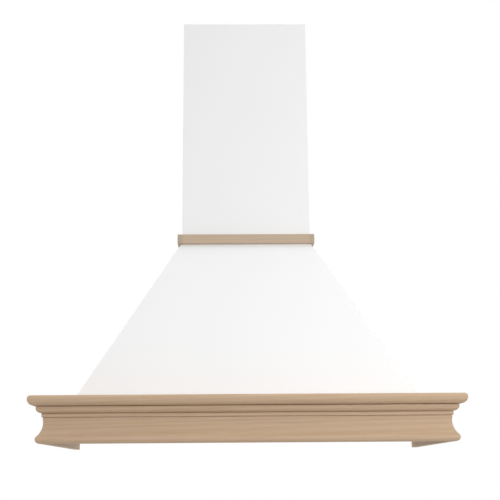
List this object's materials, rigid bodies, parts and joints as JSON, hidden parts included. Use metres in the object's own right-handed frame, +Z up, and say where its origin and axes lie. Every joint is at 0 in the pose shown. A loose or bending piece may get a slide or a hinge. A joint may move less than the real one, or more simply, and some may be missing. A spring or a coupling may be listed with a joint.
{
  "type": "wall range hood with wooden cover",
  "caption": "Wall range hood cover: moulded wooden base frame, tapered white canopy, square chimney with a wooden collar, and a blower unit with filters, lamps and push buttons inside.",
  "frame": {"origin": "on the wall plane, at the centre of the wall cleat's four fixing holes, 283 mm above the underside of the base frame", "axes": "+X to the right seen from the room, +Y into the wall, +Z up"},
  "size_m": [0.9, 0.48, 1.0225],
  "materials": {
    "raw_wood": "bare sanded limewood",
    "white_paint": "matt white lacquer on fibreboard",
    "softwood": "bare planed softwood",
    "plywood": "bare birch plywood",
    "liner_steel": "brushed stainless steel",
    "galvanised": "galvanised sheet",
    "filter_aluminium": "mill finish aluminium",
    "zinc_plate": "zinc plated steel",
    "black_plastic": "matt moulded plastic",
    "button_plastic": "grey gloss plastic",
    "motor_steel": "painted steel",
    "lamp_metal": "satin nickel",
    "lamp_glass": "frosted glass"
  },
  "bodies": {
    "hood": {"back_batten_left": "softwood", "back_batten_right": "softwood", "base_back_rail": "softwood", "blower_half_left": "galvanised", "blower_half_right": "galvanised", "cable_gland": "black_plastic", "canopy_front": "white_paint", "canopy_left": "white_paint", "canopy_right": "white_paint", "cap_board_front": "raw_wood", "cap_board_left": "raw_wood", "cap_board_right": "raw_wood", "chimney_back_rail": "softwood", "chimney_batten_left": "softwood", "chimney_batten_right": "softwood", "chimney_front": "white_paint", "chimney_left": "white_paint", "chimney_right": "white_paint", "collar_front": "raw_wood", "collar_left": "raw_wood", "collar_right": "raw_wood", "control_panel": "liner_steel", "cove_moulding_front": "raw_wood", "cove_moulding_left": "raw_wood", "cove_moulding_right": "raw_wood", "duct_spigot": "black_plastic", "extractor_case": "galvanised", "hanging_cleat": "softwood", "hanging_rail": "softwood", "hip_batten_left": "softwood", "hip_batten_right": "softwood", "lamp_can_left": "lamp_metal", "lamp_can_right": "lamp_metal", "lamp_lens_left": "lamp_glass", "lamp_lens_right": "lamp_glass", "liner": "liner_steel", "liner_screws": "zinc_plate", "motor": "motor_steel", "motor_bracket": "galvanised", "neck_board": "plywood", "rail_screws": "zinc_plate", "switch_housing": "black_plastic", "terminal_box": "black_plastic", "terminal_lid": "black_plastic", "wall_cleat": "softwood"},
    "filter_left": {"filter_frame_left": "filter_aluminium", "filter_mesh_left": "filter_aluminium"},
    "filter_right": {"filter_frame_right": "filter_aluminium", "filter_mesh_right": "filter_aluminium"},
    "latch_left": {"filter_latch_left": "black_plastic"},
    "latch_right": {"filter_latch_right": "black_plastic"},
    "impeller": {"impeller": "black_plastic", "motor_shaft": "zinc_plate"},
    "flap_front": {"flap_front": "black_plastic"},
    "flap_rear": {"flap_rear": "black_plastic"},
    "button_light": {"button_light": "button_plastic"},
    "button_off": {"button_off": "button_plastic"},
    "button_speed_1": {"button_speed_1": "button_plastic"},
    "button_speed_2": {"button_speed_2": "button_plastic"},
    "button_speed_3": {"button_speed_3": "button_plastic"}
  },
  "joints": [
    {"name": "filter_left_tilt", "type": "hinge", "parent": "hood", "child": "filter_left", "pos_m": [0, -0.0462, -0.2076], "axis": [1, 0, 0], "range_deg": [0, 60]},
    {"name": "latch_left_slide", "type": "slide", "parent": "filter_left", "child": "latch_left", "axis": [0, -1, 0], "range_m": [0, 0.005]},
    {"name": "filter_right_tilt", "type": "hinge", "parent": "hood", "child": "filter_right", "pos_m": [0, -0.0462, -0.2076], "axis": [1, 0, 0], "range_deg": [0, 60]},
    {"name": "latch_right_slide", "type": "slide", "parent": "filter_right", "child": "latch_right", "axis": [0, -1, 0], "range_m": [0, 0.005]},
    {"name": "impeller_spin", "type": "hinge", "parent": "hood", "child": "impeller", "pos_m": [0, -0.168, -0.125], "axis": [1, 0, 0], "continuous": true},
    {"name": "flap_front_swing", "type": "hinge", "parent": "hood", "child": "flap_front", "pos_m": [0, -0.1292, -0.02], "axis": [-1, 0, 0], "range_deg": [0, 75]},
    {"name": "flap_rear_swing", "type": "hinge", "parent": "hood", "child": "flap_rear", "pos_m": [0, -0.1248, -0.02], "axis": [1, 0, 0], "range_deg": [0, 75]},
    {"name": "button_light_press", "type": "slide", "parent": "hood", "child": "button_light", "axis": [0, 0, 1], "range_m": [0, 0.0025], "stiffness_N_per_m": 300, "springref_m": -0.001},
    {"name": "button_off_press", "type": "slide", "parent": "hood", "child": "button_off", "axis": [0, 0, 1], "range_m": [0, 0.0025], "stiffness_N_per_m": 300, "springref_m": -0.001},
    {"name": "button_speed_1_press", "type": "slide", "parent": "hood", "child": "button_speed_1", "axis": [0, 0, 1], "range_m": [0, 0.0025], "stiffness_N_per_m": 300, "springref_m": -0.001},
    {"name": "button_speed_2_press", "type": "slide", "parent": "hood", "child": "button_speed_2", "axis": [0, 0, 1], "range_m": [0, 0.0025], "stiffness_N_per_m": 300, "springref_m": -0.001},
    {"name": "button_speed_3_press", "type": "slide", "parent": "hood", "child": "button_speed_3", "axis": [0, 0, 1], "range_m": [0, 0.0025], "stiffness_N_per_m": 300, "springref_m": -0.001}
  ]
}
